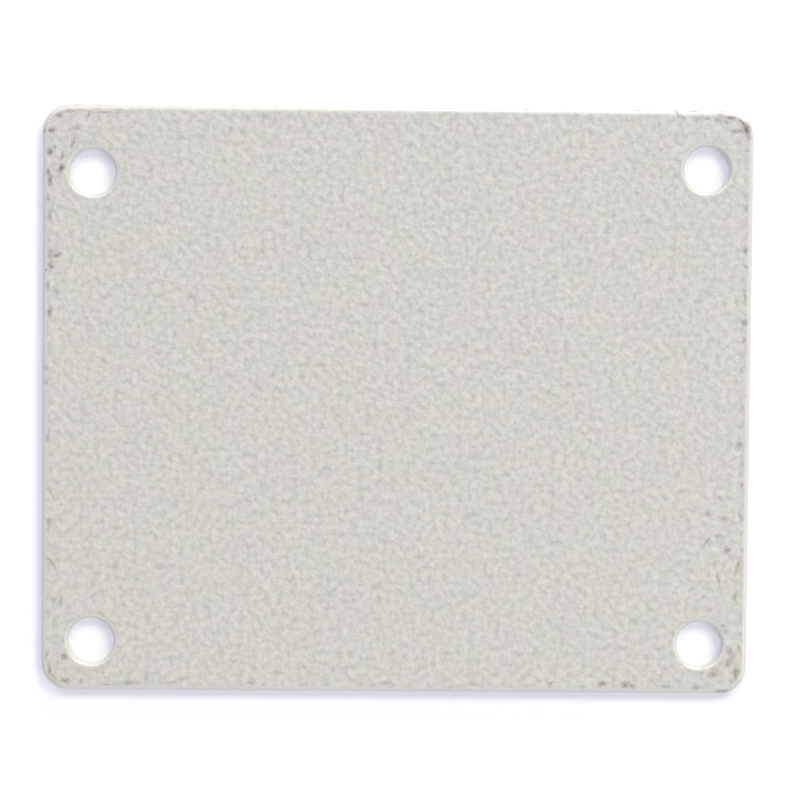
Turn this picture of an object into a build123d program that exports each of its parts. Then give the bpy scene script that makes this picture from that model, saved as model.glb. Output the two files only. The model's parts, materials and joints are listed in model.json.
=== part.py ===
from build123d import *
import os

# Back cover of a sewing machine: one flat steel plate with rounded corners and four screw
# holes. It lies face up on a table. The origin is the middle of its back, +X runs along the
# long side to the right, +Y to the upper side, and +Z points out of the painted face.
# All sizes are in millimetres.

# The plate
WIDTH = 73.0
HEIGHT = 60.3
THICKNESS = 1.5
CORNER_RADIUS = 2.8

# The screw holes, which clear a 4 mm screw. A margin runs from the side of the plate to the
# centre of the hole. The lower row runs along the plate, and the upper two holes are further
# in, each by its own amount. The left two are in line, and the right two lie a little nearer
# to their side, the upper one most.
HOLE_DIAMETER = 4.7
LEFT_MARGIN = 5.1
LOWER_RIGHT_SIDE_MARGIN = 4.95
UPPER_RIGHT_SIDE_MARGIN = 4.8
LOWER_MARGIN = 5.1
UPPER_LEFT_MARGIN = 6.95
UPPER_RIGHT_MARGIN = 6.1

# The edges: rolled over by the press and rounded by the paint on the face, and only broken on
# the back
OUTLINE_EDGE_RADIUS = 0.45
HOLE_RIM_RADIUS = 0.35
BACK_EDGE_RADIUS = 0.2


def hole_centres():
    """Places of the four screw holes on the face, from the lower left round to the upper left."""
    right = WIDTH / 2
    top = HEIGHT / 2
    return [
        (LEFT_MARGIN - right, LOWER_MARGIN - top),
        (right - LOWER_RIGHT_SIDE_MARGIN, LOWER_MARGIN - top),
        (right - UPPER_RIGHT_SIDE_MARGIN, top - UPPER_RIGHT_MARGIN),
        (LEFT_MARGIN - right, top - UPPER_LEFT_MARGIN),
    ]


def blank():
    """The punched plate before its edges are softened, with its back on the table."""
    outline = RectangleRounded(WIDTH, HEIGHT, CORNER_RADIUS)
    holes = Locations(*hole_centres()) * Circle(HOLE_DIAMETER / 2)
    return extrude(outline - holes, THICKNESS)


def soften_face(plate):
    """Rounds the outline and the rim of each hole on the painted face."""
    rims = plate.faces().sort_by(Axis.Z)[-1].inner_wires()
    plate = fillet(rims.edges(), HOLE_RIM_RADIUS)
    outline = plate.faces().sort_by(Axis.Z)[-1].outer_wire()
    return fillet(outline.edges(), OUTLINE_EDGE_RADIUS)


def soften_back(plate):
    """Breaks every edge on the back."""
    return fillet(plate.faces().sort_by(Axis.Z)[0].edges(), BACK_EDGE_RADIUS)


def cover_plate():
    """The finished plate, one solid."""
    return soften_back(soften_face(blank()))


os.makedirs("parts", exist_ok=True)
export_step(cover_plate(), "parts/cover_plate.step")
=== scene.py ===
"""Sewing machine back cover: a steel plate in pale hammered paint, lying face up on white."""

from __future__ import annotations

import json
import logging
import math
from dataclasses import dataclass, field
from enum import Enum

import bmesh
import bpy
from mathutils import Matrix, Vector


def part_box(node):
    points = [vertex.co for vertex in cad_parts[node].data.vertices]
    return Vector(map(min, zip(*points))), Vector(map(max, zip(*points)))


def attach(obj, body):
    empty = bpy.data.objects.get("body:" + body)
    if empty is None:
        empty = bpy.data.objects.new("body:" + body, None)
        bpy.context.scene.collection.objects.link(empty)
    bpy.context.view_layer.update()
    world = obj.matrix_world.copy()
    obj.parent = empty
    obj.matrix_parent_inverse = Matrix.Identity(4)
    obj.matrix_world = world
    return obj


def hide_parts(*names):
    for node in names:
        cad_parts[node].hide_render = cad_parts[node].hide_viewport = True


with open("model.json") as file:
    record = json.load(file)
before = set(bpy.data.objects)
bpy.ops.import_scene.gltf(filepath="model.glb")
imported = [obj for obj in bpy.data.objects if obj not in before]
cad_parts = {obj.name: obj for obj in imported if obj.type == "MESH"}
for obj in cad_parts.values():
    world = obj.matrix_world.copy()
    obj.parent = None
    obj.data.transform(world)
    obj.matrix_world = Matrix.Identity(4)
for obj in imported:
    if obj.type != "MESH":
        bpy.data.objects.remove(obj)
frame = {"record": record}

LOG = logging.getLogger("back_cover")
MM = 0.001  # metres in a millimetre


class Value:
    """A number that a node puts out, for sums written as Python expressions."""

    def __init__(self, graph: Graph, socket: bpy.types.NodeSocket) -> None:
        """Wraps one output socket.

        Args:
            graph: The graph that the socket is in.
            socket: The output socket.
        """
        self.graph = graph
        self.socket = socket

    def _math(self, operation: str, *others: Value | float) -> Value:
        """Adds one Math node.

        Args:
            operation: The Math node's operation.
            *others: Its second and third inputs.

        Returns:
            The node's output.
        """
        values = dict(enumerate((self, *others)))
        return self.graph.value("ShaderNodeMath", {"operation": operation}, values)

    def __add__(self, other: Value | float) -> Value:
        """Sum."""
        return self._math("ADD", other)

    __radd__ = __add__

    def __mul__(self, other: Value | float) -> Value:
        """Product."""
        return self._math("MULTIPLY", other)

    def __sub__(self, other: Value | float) -> Value:
        """Difference."""
        return self._math("SUBTRACT", other)

    def __rsub__(self, other: float) -> Value:
        """Difference from a number."""
        return self * -1.0 + other

    def __abs__(self) -> Value:
        """Size without its sign."""
        return self._math("ABSOLUTE")

    def above(self, other: Value | float) -> Value:
        """The larger of two values."""
        return self._math("MAXIMUM", other)

    def below(self, other: Value | float) -> Value:
        """The smaller of two values."""
        return self._math("MINIMUM", other)

    def hypot(self, other: Value) -> Value:
        """Length of the two sides' diagonal."""
        return (self * self + other * other)._math("SQRT")

    def step(self, low: float, high: float) -> Value:
        """Smooth step from 0 at one value to 1 at another.

        Args:
            low: The value that gives 0.
            high: The value that gives 1, which may be the smaller one.

        Returns:
            The step, between 0 and 1.
        """
        settings = {"interpolation_type": "SMOOTHSTEP"}
        values = {"Value": self, "From Min": low, "From Max": high}
        if low > high:
            values = {"Value": self, "From Min": high, "From Max": low, "To Min": 1.0, "To Max": 0.0}
        return self.graph.value("ShaderNodeMapRange", settings, values)


class Graph:
    """A node tree of a material or of a modifier, filled in by calls."""

    def __init__(self, tree: bpy.types.NodeTree) -> None:
        """Empties the tree.

        Args:
            tree: A shader or geometry node tree.
        """
        self.tree = tree
        tree.nodes.clear()

    def add(self, kind: str, settings: dict | None = None, values: dict | None = None) -> bpy.types.Node:
        """Adds a node.

        Args:
            kind: The node's type.
            settings: Its properties, which are set first.
            values: What its inputs take, by name or number: a Value, a socket, or a plain value.

        Returns:
            The new node.
        """
        node = self.tree.nodes.new(kind)
        for name, setting in (settings or {}).items():
            setattr(node, name, setting)
        for name, value in (values or {}).items():
            source = value.socket if isinstance(value, Value) else value
            if isinstance(source, bpy.types.NodeSocket):
                self.tree.links.new(source, node.inputs[name])
            else:
                node.inputs[name].default_value = source
        return node

    def value(
        self, kind: str, settings: dict | None = None, values: dict | None = None, output: int | str = 0
    ) -> Value:
        """Adds a node and wraps one of its outputs.

        Args:
            kind: The node's type.
            settings: Its properties.
            values: What its inputs take.
            output: The output to wrap, by name or number.

        Returns:
            The wrapped output.
        """
        return Value(self, self.add(kind, settings, values).outputs[output])

    def noise(
        self, place: Value, size: float, detail: float = 0.0, share: float = 0.5, output: str = "Fac"
    ) -> Value:
        """Soft noise from 0 to 1 over the face.

        Args:
            place: Where it is read, in millimetres.
            size: Size of its largest patches, in millimetres.
            detail: How many finer layers are added.
            share: How strong each layer is against the one before it.
            output: Fac for one number, or Color for three that differ.

        Returns:
            The noise.
        """
        values = {"Vector": place, "Scale": 1.0 / size, "Detail": detail, "Roughness": share}
        return self.value("ShaderNodeTexNoise", {"noise_dimensions": "2D"}, values, output)

    def strayed(self, place: Value, reach: float, size: float) -> Value:
        """A place pushed about by noise, which makes what is read there irregular.

        Args:
            place: The place, in millimetres.
            reach: How far it is pushed at most.
            size: Size of the patches that are pushed together.

        Returns:
            The pushed place.
        """
        noise = self.noise(place, size, detail=1.0, output="Color")
        values = {0: noise, 1: (2 * reach,) * 3, 2: (-reach,) * 3}
        push = self.value("ShaderNodeVectorMath", {"operation": "MULTIPLY_ADD"}, values)
        return self.summed(place, push)

    def summed(self, first: Value, second: Value) -> Value:
        """The sum of two places, offsets or colours."""
        return self.value("ShaderNodeVectorMath", {"operation": "ADD"}, {0: first, 1: second})

    def flat(self, place: Value, scale: float) -> Value:
        """A place scaled and laid on the ground plane."""
        values = {0: place, 1: (scale, scale, 0.0)}
        return self.value("ShaderNodeVectorMath", {"operation": "MULTIPLY"}, values)

    def mixed(self, share: Value, first: Value | tuple, second: Value | tuple) -> Value:
        """Blends two colours.

        Args:
            share: How much of the second one is taken.
            first: A colour.
            second: Another colour.

        Returns:
            The blend.
        """
        first, second = ((*c, 1.0) if isinstance(c, tuple) else c for c in (first, second))
        return self.value("ShaderNodeMix", {"data_type": "RGBA"}, {"Factor": share, 6: first, 7: second}, 2)

    def scaled(self, vector: Value | tuple, factor: Value) -> Value:
        """A colour or an offset made larger or smaller.

        Args:
            vector: The colour or the offset.
            factor: What its parts are multiplied by.

        Returns:
            The result.
        """
        return self.value("ShaderNodeVectorMath", {"operation": "SCALE"}, {0: vector, "Scale": factor})

    def turned(self, place: Value, spin: Matrix) -> Value:
        """A place of the face turned about the face's middle.

        Args:
            place: The place, in millimetres.
            spin: The turn.

        Returns:
            The turned place.
        """
        dot = {"operation": "DOT_PRODUCT"}
        sides = [self.value("ShaderNodeVectorMath", dot, {0: place, 1: row}, "Value") for row in spin[:2]]
        return self.value("ShaderNodeCombineXYZ", None, dict(enumerate(sides)))

    def nearest(self, place: Value, marks: tuple[Mark, ...]) -> Value:
        """Distance to the nearest mark, counted in its own half sizes.

        Args:
            place: The point of the face, in millimetres.
            marks: The marks.

        Returns:
            The distance, which is 1 on a mark's outline.
        """
        nearest = None
        for turn in sorted({mark.turn for mark in marks}):
            spin = Matrix.Rotation(math.radians(-turn), 3, "Z")
            turned = self.turned(place, spin)
            for mark in (mark for mark in marks if mark.turn == turn):
                middle = spin @ Vector((mark.x, mark.y, 0.0))
                shares = Vector((1 / mark.half_length, 1 / mark.half_width, 0.0))
                values = {0: turned, 1: shares, 2: middle * -shares}
                off = self.value("ShaderNodeVectorMath", {"operation": "MULTIPLY_ADD"}, values)
                away = self.value("ShaderNodeVectorMath", {"operation": "LENGTH"}, {0: off}, "Value")
                nearest = away if nearest is None else nearest.below(away)
        return nearest

    def split(self, place: Value) -> tuple[Value, Value, Value]:
        """The three coordinates of a place."""
        node = self.add("ShaderNodeSeparateXYZ", None, {0: place})
        return tuple(Value(self, socket) for socket in node.outputs)


@dataclass(frozen=True)
class Hole:
    """A screw hole, in millimetres on the face."""

    x: float
    y: float
    radius: float


@dataclass(frozen=True)
class PlateShape:
    """The bare plate's form, in millimetres, with its back on zero."""

    half_width: float
    half_height: float
    thickness: float
    holes: tuple[Hole, ...]
    corner_radius: float = 2.8
    edge_radius: float = 0.45
    rim_radius: float = 0.35
    back_radius: float = 0.2

    @classmethod
    def from_frame(cls, node: str) -> PlateShape:
        """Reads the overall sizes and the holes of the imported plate.

        Args:
            node: The plate's node.

        Returns:
            The shape.
        """
        low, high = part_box(node)
        bores = [mount for mount in frame["record"]["mounts"] if mount["kind"] == "bore"]
        holes = tuple(
            Hole(bore["pos_m"][0] / MM, bore["pos_m"][1] / MM, bore["dims"]["r_mm"]) for bore in bores
        )
        return cls((high.x - low.x) / 2 / MM, (high.y - low.y) / 2 / MM, (high.z - low.z) / MM, holes)

    def heart(self, x: float, y: float) -> Vector:
        """The nearest point of the rectangle that the outline's corners turn about."""
        reach_x = self.half_width - self.corner_radius
        reach_y = self.half_height - self.corner_radius
        return Vector((max(-reach_x, min(reach_x, x)), max(-reach_y, min(reach_y, y))))

    def nearest_hole(self, x: float, y: float) -> Hole:
        """The hole whose middle is nearest to a point of the face."""
        return min(self.holes, key=lambda hole: math.hypot(x - hole.x, y - hole.y))

    def in_hole(self, x: float, y: float) -> bool:
        """Whether a point of an edge lies on the rim or the wall of a hole."""
        hole = self.nearest_hole(x, y)
        return math.hypot(x - hole.x, y - hole.y) < hole.radius + 2 * self.rim_radius

    def outward(self, x: float, y: float) -> Vector:
        """Direction out of the metal, in the plane, at a point of the outline or of a hole's wall."""
        if self.in_hole(x, y):
            hole = self.nearest_hole(x, y)
            return Vector((hole.x - x, hole.y - y)).normalized()
        return (Vector((x, y)) - self.heart(x, y)).normalized()

    def margin(self, graph: Graph, x: Value, y: Value) -> Value:
        """How far a point lies inside the flat part of the face.

        Args:
            graph: The graph to add the nodes to.
            x: The point's place across the plate, in millimetres.
            y: The point's place up the plate.

        Returns:
            The distance to where the nearest edge starts to roll over, in millimetres. It is below
            zero on the rounding.
        """
        past_x = abs(x) - (self.half_width - self.corner_radius)
        past_y = abs(y) - (self.half_height - self.corner_radius)
        corner = past_x.above(0.0).hypot(past_y.above(0.0))
        margin = self.corner_radius - self.edge_radius - (corner + past_x.above(past_y).below(0.0))
        for hole in self.holes:
            margin = margin.below((x - hole.x).hypot(y - hole.y) - (hole.radius + self.rim_radius))
        return margin


@dataclass(frozen=True)
class HammeredRelief:
    """The small domes and creases of the paint, in millimetres."""

    dome_size: float = 0.58
    dome_share: float = 0.41
    dome_fall: float = 1.6
    wander: float = 0.15
    wander_size: float = 0.6
    swell_size: float = 0.68
    swell_share: float = 1.3
    fine_size: float = 0.30
    fine_share: float = 0.35
    height: float = 0.034
    gain: float = 0.0035  # share by which it grows over each millimetre up the face
    mean_level: float = 0.57
    fade_from: float = -0.32
    fade_to: float = 0.06

    def level(self, graph: Graph, place: Value) -> Value:
        """Height of the paint as a share of the whole relief.

        Args:
            graph: The graph to add the nodes to.
            place: Where it is read, in millimetres. Only its place on the face counts.

        Returns:
            The height, from about 0 to 1, with the mean that the relief names.
        """
        strayed = graph.strayed(place, self.wander, self.wander_size)
        values = {"Vector": strayed, "Scale": 1 / self.dome_size}
        away = graph.value("ShaderNodeTexVoronoi", {"voronoi_dimensions": "2D"}, values)
        dome = (1.0 - away * away * self.dome_fall) * self.dome_share + (1 - self.dome_share) / 2
        swell = graph.noise(place, self.swell_size, detail=1.0) - 0.5
        fine = graph.noise(place, self.fine_size) - 0.5
        return dome + swell * self.swell_share + fine * self.fine_share


class MarkKind(Enum):
    """How far a mark in the paint goes down: its cover, and where it fades out."""

    BARE = (0.82, 0.10, 1.75)
    CHIP = (0.68, 0.00, 1.85)
    STAIN = (0.47, 0.00, 1.85)
    TRACE = (0.38, 0.00, 1.85)

    @property
    def cover(self) -> float:
        """Share of the mark's own colour in its middle."""
        return self.value[0]

    @property
    def fade(self) -> tuple[float, float]:
        """Where the mark starts and ends to fade out, in shares of its half sizes."""
        return self.value[1:]


@dataclass(frozen=True)
class Mark:
    """A dark spot on the face, mostly where the paint is thin or gone, in millimetres and degrees on the
    face.
    """

    x: float
    y: float
    half_length: float
    half_width: float
    turn: float = 0.0


MARKS = {
    MarkKind.BARE: (
        Mark(35.7, 28.25, 0.40, 0.62),
        Mark(35.45, 28.75, 0.20, 0.38, 45.0),
        Mark(-35.6, 27.4, 0.30, 0.27),
        Mark(-35.75, 25.25, 0.25, 0.31),
        Mark(-34.6, 23.55, 0.26, 0.44, -12.0),
    ),
    MarkKind.CHIP: (
        Mark(35.0, 29.15, 0.26, 0.15, -35.0),
        Mark(-35.95, 23.15, 0.20, 0.33),
        Mark(-35.7, 22.3, 0.22, 0.55),
        Mark(-35.6, 13.5, 0.28, 0.36),
        Mark(-36.1, 13.2, 0.10, 0.12),
        Mark(-35.7, 8.9, 0.22, 0.50),
        Mark(-34.1, -26.75, 0.30, 0.28, 40.0),
        Mark(34.05, 29.4, 0.50, 0.20),
        Mark(35.75, 15.7, 0.18, 0.24),
        Mark(35.75, 8.35, 0.26, 0.36),
        Mark(21.5, -29.2, 0.42, 0.22),
        Mark(23.95, -29.25, 0.38, 0.30),
        Mark(34.0, -29.87, 0.70, 0.16),
        Mark(35.4, -28.0, 0.25, 0.60, 6.0),
        Mark(28.45, 29.85, 0.46, 0.15, -45.0),
        Mark(-34.95, 14.7, 0.50, 0.22, 10.0),
        Mark(-33.4, 26.2, 0.17, 0.55, -22.0),
        Mark(-34.5, 24.75, 0.15, 0.42, -8.0),
        Mark(34.35, -15.15, 0.34, 0.32),
        Mark(-35.6, -28.1, 0.17, 0.50),
        Mark(-33.95, -29.25, 0.46, 0.19),
    ),
    MarkKind.STAIN: (
        Mark(-35.6, 14.65, 0.24, 0.48),
        Mark(-35.75, 18.6, 0.24, 0.50),
        Mark(-35.85, 20.5, 0.24, 0.40),
        Mark(-35.05, 11.0, 0.38, 0.19, -35.0),
        Mark(-35.9, 11.5, 0.15, 0.40),
        Mark(-36.35, 27.4, 0.14, 0.24),
        Mark(-34.75, 28.95, 0.32, 0.24, 30.0),
        Mark(-33.6, 29.37, 0.75, 0.10, 8.0),
        Mark(-31.85, 29.0, 0.10, 0.32, -20.0),
        Mark(-35.5, -16.9, 0.18, 0.72, 38.0),
        Mark(-35.6, -9.6, 0.17, 0.62, 24.0),
        Mark(-35.7, -12.9, 0.18, 0.62, -8.0),
        Mark(-35.15, -28.9, 0.24, 0.42, 35.0),
        Mark(-32.3, -29.2, 0.17, 0.21),
        Mark(-27.4, -29.42, 0.80, 0.20),
        Mark(16.2, -29.15, 0.30, 0.17, 30.0),
        Mark(24.6, -29.4, 0.30, 0.20),
        Mark(28.1, -29.4, 0.38, 0.15),
        Mark(31.3, -29.5, 0.44, 0.26),
        Mark(33.05, -28.1, 0.60, 0.34, 20.0),
        Mark(35.5, -27.9, 0.32, 0.46),
        Mark(34.75, -26.7, 0.32, 0.75, -35.0),
        Mark(35.65, -25.3, 0.11, 0.40, 12.0),
        Mark(35.2, -20.0, 0.22, 0.45),
        Mark(35.4, -17.0, 0.19, 0.95, -14.0),
        Mark(33.5, -9.7, 0.24, 0.20),
        Mark(32.2, -14.3, 0.15, 0.48, -40.0),
        Mark(34.7, -25.75, 0.34, 0.36),
        Mark(34.0, -12.0, 0.38, 0.27),
        Mark(35.6, -11.6, 0.12, 0.36, 20.0),
        Mark(35.7, -8.5, 0.14, 0.27),
        Mark(35.4, -4.3, 0.28, 0.46),
        Mark(35.75, 6.5, 0.22, 0.36),
        Mark(35.75, 11.2, 0.15, 0.62),
        Mark(35.8, 14.2, 0.30, 0.15, -20.0),
        Mark(36.0, 27.4, 0.24, 0.22),
        Mark(34.9, 28.02, 0.95, 0.20),
        # Thin dark dash on the outer line of the upper rounding
        Mark(30.3, 30.05, 0.50, 0.13),
        Mark(33.0, 29.80, 0.36, 0.40),
        Mark(33.45, 29.45, 0.24, 0.16),
        Mark(32.6, 29.2, 0.24, 0.16),
        Mark(31.65, 29.3, 0.34, 0.12),
        Mark(29.1, 29.5, 0.34, 0.12, -45.0),
        # Thin dark dashes on the outer line of the upper rounding
        Mark(24.5, 30.06, 0.30, 0.09),
        Mark(13.1, 30.06, 0.32, 0.09),
        Mark(-12.8, 30.06, 0.22, 0.08),
        Mark(-32.9, 30.06, 0.48, 0.08),
        Mark(-30.9, 30.06, 0.24, 0.09),
    ),
    MarkKind.TRACE: (
        Mark(-35.5, 19.5, 0.18, 0.40),
        Mark(-35.3, 25.7, 0.24, 0.20),
        Mark(-36.1, 3.1, 0.21, 0.30),
        Mark(-36.0, 1.7, 0.24, 0.32),
        Mark(-35.85, -4.2, 0.20, 0.46),
        Mark(-34.5, -20.9, 0.20, 0.55),
        Mark(-35.3, -20.8, 0.24, 0.30),
        Mark(32.3, -11.5, 0.28, 0.24),
        Mark(33.4, -13.7, 0.30, 0.18),
        Mark(33.45, -18.2, 0.14, 0.60, 10.0),
        Mark(34.05, -23.1, 0.30, 0.20),
        Mark(-35.9, -26.5, 0.20, 0.50, -20.0),
        Mark(-33.2, 27.65, 0.56, 0.19),
        Mark(-29.8, 29.3, 1.50, 0.08),
        Mark(-29.8, -29.6, 0.80, 0.07),
        Mark(-25.7, -28.9, 0.18, 0.50),
        Mark(-22.8, -29.3, 0.50, 0.15),
        Mark(-14.8, -29.3, 0.42, 0.16),
        Mark(-0.9, -29.25, 0.70, 0.14),
        Mark(5.7, -29.7, 0.12, 0.11),
        Mark(8.2, -29.3, 0.42, 0.20),
        Mark(35.7, -0.4, 0.19, 0.40),
        Mark(35.75, -13.5, 0.11, 0.30),
        Mark(35.5, 3.4, 0.13, 0.22),
        Mark(35.8, 20.1, 0.18, 0.40),
        Mark(30.7, 29.3, 0.30, 0.20),
        Mark(33.6, 28.9, 0.22, 0.24),
        # Thin dark dashes on the outer line of the upper rounding
        Mark(5.0, 30.07, 0.45, 0.08),
        Mark(-23.5, 30.1, 0.10, 0.20),
    ),
}


@dataclass(frozen=True)
class HammeredPaint:
    """The pale hammered enamel, smooth and lighter where it runs over the edges."""

    face_colour: tuple[float, float, float] = (0.618, 0.608, 0.577)
    edge_colour: tuple[float, float, float] = (0.675, 0.667, 0.645)
    drift: tuple[float, float, float] = (0.170, 0.105, 0.170)
    drift_size: float = 5.5
    drift_detail: float = 4.0
    drift_share: float = 0.90
    # Painted tint of the light: the face is made warmer towards the lower left and cooler towards the upper
    # right, where the warm key lamp falls stronger
    light_tint: tuple[float, float, float] = (0.0022, 0.0, -0.0041)
    light_tint_slope: tuple[float, float] = (-0.026, -0.062)  # tinges per millimetre across and up
    mark_colour: tuple[float, float, float] = (0.140, 0.092, 0.095)
    mark_reach: float = 0.55
    mark_wander: float = 0.14
    mark_wander_size: float = 0.50
    mark_grain_size: float = 0.26
    mark_grain: tuple[float, float] = (0.06, 0.54)
    # Painted shade: how much darker the colour is made in the relief's creases and lighter on its domes,
    # partly the paint's own darker valleys
    crease_shade_depth: float = 0.26
    shoulder_depth: float = 0.07
    shoulder_place: float = 0.25
    shoulder_sides: tuple[float, float] = (0.32, 0.05)
    shoulder_patch_size: float = 1.1
    shoulder_patches: tuple[float, float] = (0.35, 0.75)
    edge_from: float = -0.12
    edge_to: float = 0.14
    edge_wander: float = 0.26
    edge_wander_size: float = 0.45
    face_roughness: float = 0.40
    edge_roughness: float = 0.18
    mark_roughness: float = 0.70
    coat: float = 1.0
    coat_roughness: float = 0.16

    def material(self, shape: PlateShape, relief: HammeredRelief) -> bpy.types.Material:
        """Builds the paint.

        Args:
            shape: The plate's form, which says where the edges are.
            relief: The paint's relief.

        Returns:
            The material.
        """
        material = bpy.data.materials.new("hammered_paint")
        material.use_nodes = True
        graph = Graph(material.node_tree)
        point = graph.value("ShaderNodeTexCoord", output="Object")
        place = graph.flat(point, 1 / MM)
        x, y, _ = graph.split(place)
        above_face = graph.split(point)[2] * (1 / MM) - shape.thickness
        margin = shape.margin(graph, x, y)
        level = relief.level(graph, place)
        wander = (graph.noise(place, self.edge_wander_size, detail=1.0) - 0.5) * self.edge_wander
        face = (margin + wander).step(self.edge_from, self.edge_to)
        shoulder = abs(margin - self.shoulder_place).step(*self.shoulder_sides)
        patches = graph.noise(place, self.shoulder_patch_size, detail=1.0)
        shoulder = shoulder * patches.step(*self.shoulder_patches)
        # Painted shade and light of the relief: the colour is darker in the creases and lighter on the
        # domes, partly the paint's own darker valleys. The shoulder term is the paint's own row of pits.
        creases = (level - relief.mean_level) * self.crease_shade_depth
        light = 1.0 + creases - shoulder * self.shoulder_depth
        # Painted tint of the light, warmer towards the lower left and cooler towards the upper right
        light_tint = graph.scaled(self.light_tint, x * self.light_tint_slope[0] + y * self.light_tint_slope[1])
        whole = graph.summed(self.drifting(graph, place), light_tint)
        colour = graph.mixed(face, self.edge_colour, graph.scaled(whole, light))
        bare = self.bareness(graph, place) * above_face.step(-self.mark_reach, -self.mark_reach / 2)
        colour = graph.mixed(bare, colour, self.mark_colour)
        roughness = face * (self.face_roughness - self.edge_roughness) + self.edge_roughness
        roughness = roughness + bare * (self.mark_roughness - self.face_roughness)
        fade = margin.step(relief.fade_from, relief.fade_to)
        height = level * (y * relief.gain + 1.0) * relief.height * fade
        bump = graph.value("ShaderNodeBump", None, {"Strength": 1.0, "Distance": MM, "Height": height})
        values = {
            "Base Color": colour,
            "Roughness": roughness,
            "Normal": bump,
            "Coat Weight": (1.0 - face) * (1.0 - bare) * self.coat,
            "Coat Roughness": self.coat_roughness,
        }
        shader = graph.add("ShaderNodeBsdfPrincipled", None, values)
        graph.add("ShaderNodeOutputMaterial", None, {"Surface": shader.outputs[0]})
        return material

    def drifting(self, graph: Graph, place: Value) -> Value:
        """The face's colour, which drifts a little from patch to patch.

        Args:
            graph: The graph to add the nodes to.
            place: The point of the face, in millimetres.

        Returns:
            The colour.
        """
        noise = graph.noise(place, self.drift_size, self.drift_detail, self.drift_share, "Color")
        reach = tuple(part * drift for part, drift in zip(self.face_colour, self.drift))
        least = tuple(part - side / 2 for part, side in zip(self.face_colour, reach))
        values = {0: noise, 1: reach, 2: least}
        return graph.value("ShaderNodeVectorMath", {"operation": "MULTIPLY_ADD"}, values)

    def bareness(self, graph: Graph, place: Value) -> Value:
        """How much the marks cover.

        Args:
            graph: The graph to add the nodes to.
            place: The point of the face, in millimetres.

        Returns:
            The cover, 0 on whole paint.
        """
        ragged = graph.strayed(place, self.mark_wander, self.mark_wander_size)
        cover = None
        for kind, marks in MARKS.items():
            away = graph.nearest(ragged, marks)
            spot = away.step(kind.fade[1], kind.fade[0]) * kind.cover
            cover = spot if cover is None else cover.above(spot)
        return cover * graph.noise(place, self.mark_grain_size, detail=1.0).step(*self.mark_grain)


def deselect() -> None:
    """Leaves nothing selected."""
    bpy.ops.object.select_all(action="DESELECT")


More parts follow.
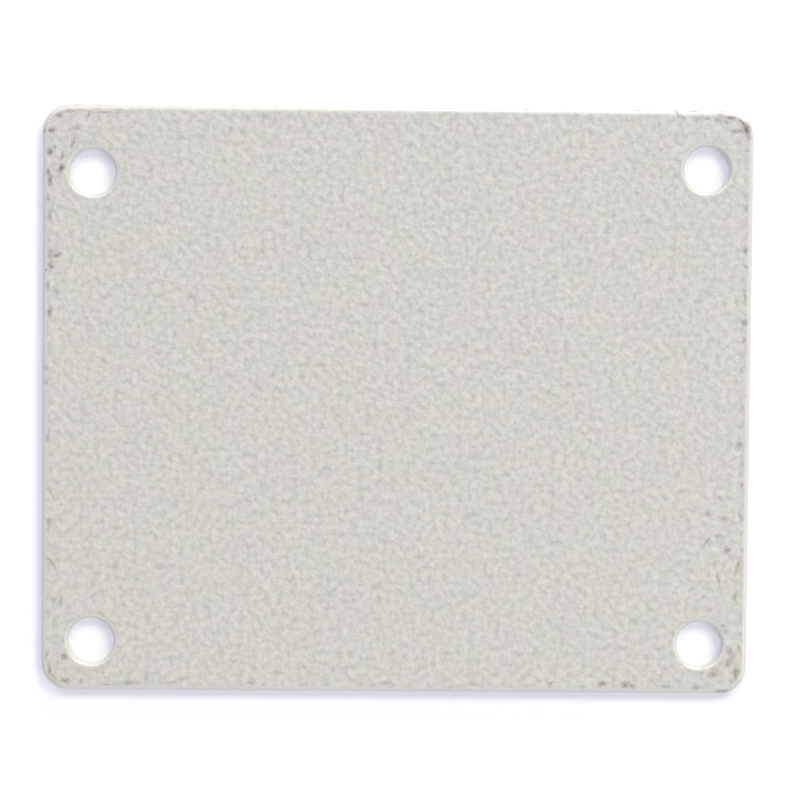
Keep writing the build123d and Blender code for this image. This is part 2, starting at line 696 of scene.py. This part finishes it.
@dataclass
class CoverPlate:
    """The painted plate, modelled with its relief."""

    shape: PlateShape
    relief: HammeredRelief = field(default_factory=HammeredRelief)
    paint: HammeredPaint = field(default_factory=HammeredPaint)
    node: str = "cover_plate"
    cell: float = 0.30
    swell_size: float = 1.9
    swell_height: float = 0.03
    swell_fade: float = 0.65
    upper_roll_reach: float = 0.75
    upper_roll_depth: float = 0.12
    smooth_angle: float = 50.0
    hole_clearing: float = 1.35
    hole_rings: int = 7
    edge_steps: int = 5
    wall_steps: int = 4
    back_steps: int = 2
    back_border: float = 0.3

    def build(self) -> bpy.types.Object:
        """Models the plate and dresses it.

        Returns:
            The finished piece.
        """
        piece = self.face_grid()
        self.clear_holes(piece)
        self.bend_corners(piece)
        self.ring_holes(piece)
        self.roll_edges(piece)
        self.close_back()
        bpy.ops.object.mode_set(mode="OBJECT")
        self.to_metres(piece)
        self.emboss(piece)
        piece.data.materials.append(self.paint.material(self.shape, self.relief))
        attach(piece, "root")
        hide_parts(self.node)
        return piece

    def face_grid(self) -> bpy.types.Object:
        """The flat part of the face as a grid of small cells, in millimetres, in edit mode."""
        deselect()
        width = 2 * (self.shape.half_width - self.shape.edge_radius)
        height = 2 * (self.shape.half_height - self.shape.edge_radius)
        bpy.ops.mesh.primitive_grid_add(
            x_subdivisions=round(width / self.cell),
            y_subdivisions=round(height / self.cell),
            size=1.0,
            location=(0, 0, self.shape.thickness),
            scale=(width, height, 1.0),
        )
        piece = bpy.context.object
        piece.name = piece.data.name = "painted_plate"
        piece.scale = (width, height, 1.0)
        bpy.ops.object.transform_apply(location=True, rotation=True, scale=True)
        bpy.ops.object.mode_set(mode="EDIT")
        bpy.ops.mesh.select_mode(type="FACE")
        return piece

    def clear_holes(self, piece: bpy.types.Object) -> None:
        """Takes out a square of cells round each hole.

        Args:
            piece: The grid, in edit mode.
        """
        bpy.ops.mesh.select_all(action="DESELECT")
        reach = self.shape.holes[0].radius + self.shape.rim_radius + self.hole_clearing
        mesh = bmesh.from_edit_mesh(piece.data)
        for face in mesh.faces:
            middle = face.calc_center_median()
            face.select = any(
                max(abs(middle.x - hole.x), abs(middle.y - hole.y)) < reach for hole in self.shape.holes
            )
        bmesh.update_edit_mesh(piece.data)
        bpy.ops.mesh.delete(type="FACE")

    def bend_corners(self, piece: bpy.types.Object) -> None:
        """Bends the grid's square corners to the outline's arcs.

        Args:
            piece: The grid, in edit mode.
        """
        radius = self.shape.corner_radius - self.shape.edge_radius
        mesh = bmesh.from_edit_mesh(piece.data)
        for vertex in mesh.verts:
            heart = self.shape.heart(vertex.co.x, vertex.co.y)
            u, v = ((vertex.co.xy - heart) / radius).to_tuple()
            vertex.co.x = heart.x + radius * u * math.sqrt(1 - v * v / 2)
            vertex.co.y = heart.y + radius * v * math.sqrt(1 - u * u / 2)
        bmesh.update_edit_mesh(piece.data)

    def ring_holes(self, piece: bpy.types.Object) -> None:
        """Fills each square with rings of cells that close in on the hole's rim.

        Args:
            piece: The grid, in edit mode.
        """
        bpy.ops.mesh.select_mode(type="EDGE")
        mesh = bmesh.from_edit_mesh(piece.data)
        for edge in mesh.edges:
            edge.select = edge.is_boundary and not self.on_outline(edge)
        mesh.select_flush_mode()
        bmesh.update_edit_mesh(piece.data)
        for rings_left in range(self.hole_rings, 0, -1):
            bpy.ops.mesh.extrude_edges_move()
            mesh = bmesh.from_edit_mesh(piece.data)
            for vertex in (vertex for vertex in mesh.verts if vertex.select):
                hole = self.shape.nearest_hole(vertex.co.x, vertex.co.y)
                middle = Vector((hole.x, hole.y))
                from_middle = vertex.co.xy - middle
                still_to_go = from_middle.length - hole.radius - self.shape.rim_radius
                from_middle.length -= still_to_go / rings_left
                vertex.co.xy = middle + from_middle
            bmesh.update_edit_mesh(piece.data)

    def on_outline(self, edge: bmesh.types.BMEdge) -> bool:
        """Whether an edge of the flat face lies on its outer border."""
        radius = self.shape.corner_radius - self.shape.edge_radius
        ends = [(v.co.xy - self.shape.heart(v.co.x, v.co.y)).length for v in edge.verts]
        return min(ends) > radius - self.cell / 4

    def roll_edges(self, piece: bpy.types.Object) -> None:
        """Runs the outline and the holes down: the rounding on the face, the wall, and the back's.

        Args:
            piece: The face, in edit mode.
        """
        mesh = bmesh.from_edit_mesh(piece.data)
        for edge in mesh.edges:
            edge.select = edge.is_boundary
        mesh.select_flush_mode()
        bmesh.update_edit_mesh(piece.data)
        outline, rim = self.profile(self.shape.edge_radius), self.profile(self.shape.rim_radius)
        for outline_step, rim_step in zip(outline, rim):
            bpy.ops.mesh.extrude_edges_move()
            mesh = bmesh.from_edit_mesh(piece.data)
            for vertex in (vertex for vertex in mesh.verts if vertex.select):
                x, y = vertex.co.xy
                out, down = rim_step if self.shape.in_hole(x, y) else outline_step
                vertex.co.xy += self.shape.outward(x, y) * out
                vertex.co.z -= down
            bmesh.update_edit_mesh(piece.data)

    def profile(self, radius: float) -> list[tuple[float, float]]:
        """The steps outward and down from the flat face to the back.

        Args:
            radius: The rounding on the face.

        Returns:
            The steps as pairs of millimetres.
        """
        points = [(0.0, 0.0)]
        for step in range(1, self.edge_steps + 1):
            turn = math.pi / 2 * step / self.edge_steps
            points.append((radius * math.sin(turn), radius * (1 - math.cos(turn))))
        wall = self.shape.thickness - radius - self.shape.back_radius
        for step in range(1, self.wall_steps + 1):
            points.append((radius, radius + wall * step / self.wall_steps))
        foot = radius + wall
        back = self.shape.back_radius
        for step in range(1, self.back_steps + 1):
            turn = math.pi / 2 * step / self.back_steps
            points.append((radius - back * (1 - math.cos(turn)), foot + back * math.sin(turn)))
        points.append((radius - back - self.back_border, self.shape.thickness))
        return [(b[0] - a[0], b[1] - a[1]) for a, b in zip(points, points[1:])]

    def close_back(self) -> None:
        """Fills the back between the outline and the holes."""
        bpy.ops.mesh.fill(use_beauty=True)
        bpy.ops.mesh.select_all(action="SELECT")
        bpy.ops.mesh.normals_make_consistent(inside=False)

    def to_metres(self, piece: bpy.types.Object) -> None:
        """Scales the piece from millimetres to the frame's metres, and leaves its object unscaled."""
        deselect()
        piece.select_set(True)
        bpy.context.view_layer.objects.active = piece
        piece.scale = (MM, MM, MM)
        bpy.ops.object.transform_apply(location=True, rotation=True, scale=True)

    def emboss(self, piece: bpy.types.Object) -> None:
        """Raises the hammered relief in the mesh.

        Args:
            piece: The smooth plate, in metres.
        """
        tree = bpy.data.node_groups.new("hammered_relief", "GeometryNodeTree")
        tree.interface.new_socket("Geometry", in_out="INPUT", socket_type="NodeSocketGeometry")
        tree.interface.new_socket("Geometry", in_out="OUTPUT", socket_type="NodeSocketGeometry")
        graph = Graph(tree)
        offset = graph.summed(self.sinking(graph), self.dropping(graph))
        start = graph.add("NodeGroupInput")
        moved = graph.add(
            "GeometryNodeSetPosition", None, {"Geometry": start.outputs[0], "Offset": offset}
        )
        graph.add("NodeGroupOutput", None, {0: moved.outputs[0]})
        modifier = piece.modifiers.new("relief", "NODES")
        modifier.node_group = tree
        bpy.ops.object.modifier_apply(modifier=modifier.name)
        bpy.ops.object.shade_smooth_by_angle(angle=math.radians(self.smooth_angle))

    def sinking(self, graph: Graph) -> Value:
        """The offset that sinks the slow swells into the flat part of the face.

        Args:
            graph: The modifier's graph.

        Returns:
            The offset, in metres.
        """
        place = graph.flat(graph.value("GeometryNodeInputPosition"), 1 / MM)
        x, y, _ = graph.split(place)
        share = self.shape.margin(graph, x, y).step(0.0, self.swell_fade)
        swell = (graph.noise(place, self.swell_size, detail=1.0) - 1.0).below(0.0)
        normal = graph.value("GeometryNodeInputNormal")
        return graph.scaled(normal, swell * share * (self.swell_height * MM))

    def dropping(self, graph: Graph) -> Value:
        """The offset that rolls the face down towards the upper side, and leaves the back flat.

        Args:
            graph: The modifier's graph.

        Returns:
            The offset, in metres.
        """
        _, y, z = graph.split(graph.value("GeometryNodeInputPosition"))
        past = y * (1 / MM) - self.shape.half_height + self.upper_roll_reach
        roll = past.above(0.0) * (1 / self.upper_roll_reach)
        drop = z * roll * roll * (-self.upper_roll_depth / self.shape.thickness)
        return graph.value("ShaderNodeCombineXYZ", None, {2: drop})


@dataclass(frozen=True)
class Lamp:
    """A soft square lamp that looks at the plate, in degrees and metres.

    Its level is how bright it alone makes a white table.
    """

    name: str
    azimuth: float
    elevation: float
    distance: float
    size: float
    level: float
    colour: tuple[float, float, float]

    def build(self) -> bpy.types.Object:
        """Hangs the lamp.

        Returns:
            The lamp's object.
        """
        data = bpy.data.lights.new(self.name, "AREA")
        data.size = self.size
        data.color = self.colour
        turn, rise = math.radians(self.azimuth), math.radians(self.elevation)
        data.energy = self.level / math.sin(rise) * (math.pi * self.distance) ** 2
        direction = Vector(
            (math.cos(turn) * math.cos(rise), math.sin(turn) * math.cos(rise), math.sin(rise))
        )
        lamp = bpy.data.objects.new(self.name, data)
        lamp.location = direction * self.distance
        lamp.rotation_euler = direction.to_track_quat("Z", "Y").to_euler()
        bpy.context.scene.collection.objects.link(lamp)
        return lamp


@dataclass(frozen=True)
class Studio:
    """The white table, the sky light, the lamps and the camera.

    Sizes are in metres, and the camera's place and aim in millimetres.
    """

    floor_size: float = 3.0
    floor_colour: tuple[float, float, float] = (0.86, 0.86, 0.86)
    floor_lift: float = 0.266
    lift_colour: tuple[float, float, float] = (0.80, 0.80, 1.0)
    sky_colour: tuple[float, float, float] = (0.93, 0.93, 1.0)
    sky_level: float = 0.280
    lamps: tuple[Lamp, ...] = (
        Lamp("key", 57.0, 47.0, 1.3, 0.46, 0.263, (1.0, 0.99, 0.68)),
        Lamp("left_window", 118.0, 50.0, 3.0, 1.20, 0.202, (0.90, 0.90, 1.0)),
        Lamp("right_window", 330.0, 46.0, 1.3, 0.72, 0.180, (0.98, 0.95, 1.0)),
        Lamp("low_back", 75.0, 10.0, 3.0, 1.65, 0.115, (1.0, 1.0, 1.0)),
        Lamp("front", 270.0, 46.0, 3.0, 1.65, 0.066, (0.70, 0.76, 1.0)),
        Lamp("low_front", 270.0, 14.0, 3.0, 1.65, 0.020, (1.0, 0.95, 0.78)),
    )
    camera_place: tuple[float, float, float] = (-5.77, 14.91, 300.18)
    camera_aim: tuple[float, float, float] = (0.312, 0.093, 1.5)
    camera_roll: float = 0.541
    focal_pixels: float = 2904.0
    picture_width: float = 800.0
    sensor: float = 36.0
    nearest_seen: float = 0.01

    def build(self) -> None:
        """Makes the room."""
        self.floor()
        self.sky()
        for lamp in self.lamps:
            lamp.build()
        self.camera()
        bpy.context.scene.view_settings.view_transform = "Standard"

    def floor(self) -> bpy.types.Object:
        """Lays the white table top, which keeps the plate's shadow.

        Returns:
            The table top.
        """
        deselect()
        bpy.ops.mesh.primitive_plane_add(size=self.floor_size, location=(0, 0, 0))
        floor = bpy.context.object
        floor.name = "table_top"
        material = bpy.data.materials.new("white_table")
        material.use_nodes = True
        graph = Graph(material.node_tree)
        shader = graph.add("ShaderNodeBsdfDiffuse", None, {"Color": (*self.floor_colour, 1.0)})
        lift = graph.add(
            "ShaderNodeEmission",
            None,
            {"Color": (*self.lift_colour, 1.0), "Strength": self.seen(graph) * self.floor_lift},
        )
        both = graph.add("ShaderNodeAddShader", None, {0: shader.outputs[0], 1: lift.outputs[0]})
        graph.add("ShaderNodeOutputMaterial", None, {"Surface": both.outputs[0]})
        floor.data.materials.append(material)
        return floor

    def seen(self, graph: Graph) -> Value:
        """Whether a ray shows the room to the camera, straight, mirrored or through glass.

        Args:
            graph: The graph to add the nodes to.

        Returns:
            1 for such a ray, 0 for one that only carries light.
        """
        rays = graph.add("ShaderNodeLightPath")
        kinds = ("Is Camera Ray", "Is Glossy Ray", "Is Transmission Ray")
        camera, glossy, glass = (Value(graph, rays.outputs[kind]) for kind in kinds)
        return camera.above(glossy).above(glass)

    def sky(self) -> None:
        """Fills the room with cool soft light, and shows white to the camera and in reflections."""
        world = bpy.data.worlds.new("sky")
        world.use_nodes = True
        graph = Graph(world.node_tree)
        light = graph.add(
            "ShaderNodeBackground", None, {"Color": (*self.sky_colour, 1.0), "Strength": self.sky_level}
        )
        white = graph.add("ShaderNodeBackground", None, {"Color": (1, 1, 1, 1), "Strength": 1.0})
        mixed = graph.add(
            "ShaderNodeMixShader", None, {0: self.seen(graph), 1: light.outputs[0], 2: white.outputs[0]}
        )
        graph.add("ShaderNodeOutputWorld", None, {"Surface": mixed.outputs[0]})
        bpy.context.scene.world = world

    def camera(self) -> bpy.types.Object:
        """Sets up the camera at the photograph's place.

        Returns:
            The camera.
        """
        data = bpy.data.cameras.new("camera")
        data.sensor_width = self.sensor
        data.lens = self.focal_pixels / self.picture_width * self.sensor
        data.clip_start = self.nearest_seen
        camera = bpy.data.objects.new("camera", data)
        place, aim = Vector(self.camera_place) * MM, Vector(self.camera_aim) * MM
        back = (place - aim).normalized()
        right = Vector((0, 1, 0)).cross(back).normalized()
        look = Matrix((right, back.cross(right), back)).transposed().to_4x4()
        roll = Matrix.Rotation(math.radians(self.camera_roll), 4, "Z")
        camera.matrix_world = Matrix.Translation(place) @ look @ roll
        bpy.context.scene.collection.objects.link(camera)
        bpy.context.scene.camera = camera
        return camera


def main() -> None:
    """Builds the plate and its room."""
    logging.basicConfig(level=logging.INFO, format="%(message)s")
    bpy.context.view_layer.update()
    Studio().build()
    plate = CoverPlate(PlateShape.from_frame("cover_plate"))
    piece = plate.build()
    triangles = sum(len(face.vertices) - 2 for face in piece.data.polygons)
    LOG.info("%s: %d triangles", piece.name, triangles)


if __name__ == "__main__":
    main()
